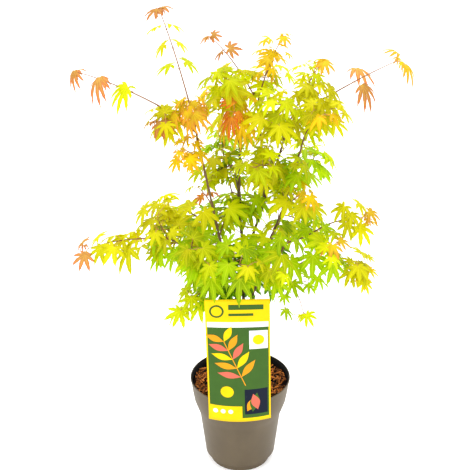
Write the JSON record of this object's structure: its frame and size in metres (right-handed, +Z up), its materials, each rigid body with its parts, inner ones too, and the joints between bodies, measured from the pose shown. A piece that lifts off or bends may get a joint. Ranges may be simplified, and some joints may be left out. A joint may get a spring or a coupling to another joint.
{
  "type": "potted japanese maple",
  "caption": "Young Japanese maple shrub in spring leaf, several slender stems from a short trunk, in a round nursery pot with a picture card clipped on its rim.",
  "frame": {"origin": "centre of the pot's flat underside", "axes": "+Z up along the pot's axis, -Y towards the picture card and the picture's camera, +X to the right in the picture"},
  "size_m": [0.5916, 0.4088, 0.89],
  "materials": {
    "pot": "smooth, matt, taupe",
    "soil": "loose bark and fibre",
    "card": "printed, slightly glossy",
    "bark": "smooth young bark",
    "leaf_green": "satin, middle green",
    "leaf_lime": "satin, yellow-green",
    "leaf_yellow": "satin, spring yellow",
    "leaf_gold": "satin, golden yellow",
    "leaf_orange": "satin, young orange leaf",
    "leaf_coral": "satin, young coral leaf",
    "leaf_red": "satin, young red-orange leaf"
  },
  "bodies": {
    "root": {"pot": "pot", "soil": "soil", "card": "card", "trunk": "bark", "stem_left": "bark", "stem_centre": "bark", "stem_right": "bark", "stem_centre_right": "bark", "stem_upper": "bark", "stem_right_low": "bark", "bough_low_left": "bark", "bough_upper_left": "bark", "bough_upper_right": "bark", "bough_right": "bark", "bough_right_low": "bark", "bough_front": "bark", "bough_back": "bark", "bough_back_right": "bark", "bough_back_left": "bark", "spray_top_left": "leaf_yellow", "spray_left_whip": "leaf_coral", "spray_left_shoulder": "leaf_yellow", "spray_left_crest": "leaf_orange", "spray_upper_coral": "leaf_gold", "spray_upper_whip": "leaf_gold", "spray_upper_back": "leaf_lime", "spray_red_crest": "leaf_red", "spray_top_green": "leaf_lime", "spray_top_middle": "leaf_lime", "spray_upper_right": "leaf_lime", "spray_right_top": "leaf_yellow", "spray_right_whip": "leaf_coral", "spray_right_shoulder": "leaf_lime", "spray_right_crown": "leaf_lime", "spray_right_middle": "leaf_yellow", "spray_right_arm": "leaf_yellow", "spray_right_arm_low": "leaf_lime", "spray_right_droop": "leaf_yellow", "spray_right_foot": "leaf_lime", "spray_front_right": "leaf_lime", "spray_front_middle": "leaf_lime", "spray_front_low": "leaf_lime", "spray_left_front": "leaf_lime", "spray_left_foot": "leaf_lime", "spray_left_arm": "leaf_yellow", "spray_left_arm_low": "leaf_lime", "spray_left_middle": "leaf_yellow", "spray_left_high": "leaf_gold", "spray_left_thin": "leaf_yellow", "spray_centre_left": "leaf_lime", "spray_centre_right": "leaf_lime", "spray_centre_low": "leaf_lime", "spray_back_low": "leaf_green", "spray_back_middle": "leaf_lime", "spray_back_right": "leaf_lime", "spray_back_right_low": "leaf_lime", "spray_back_left": "leaf_yellow", "spray_back_left_low": "leaf_green", "spray_back_high": "leaf_yellow", "spray_centre_front": "leaf_lime"}
  },
  "joints": []
}
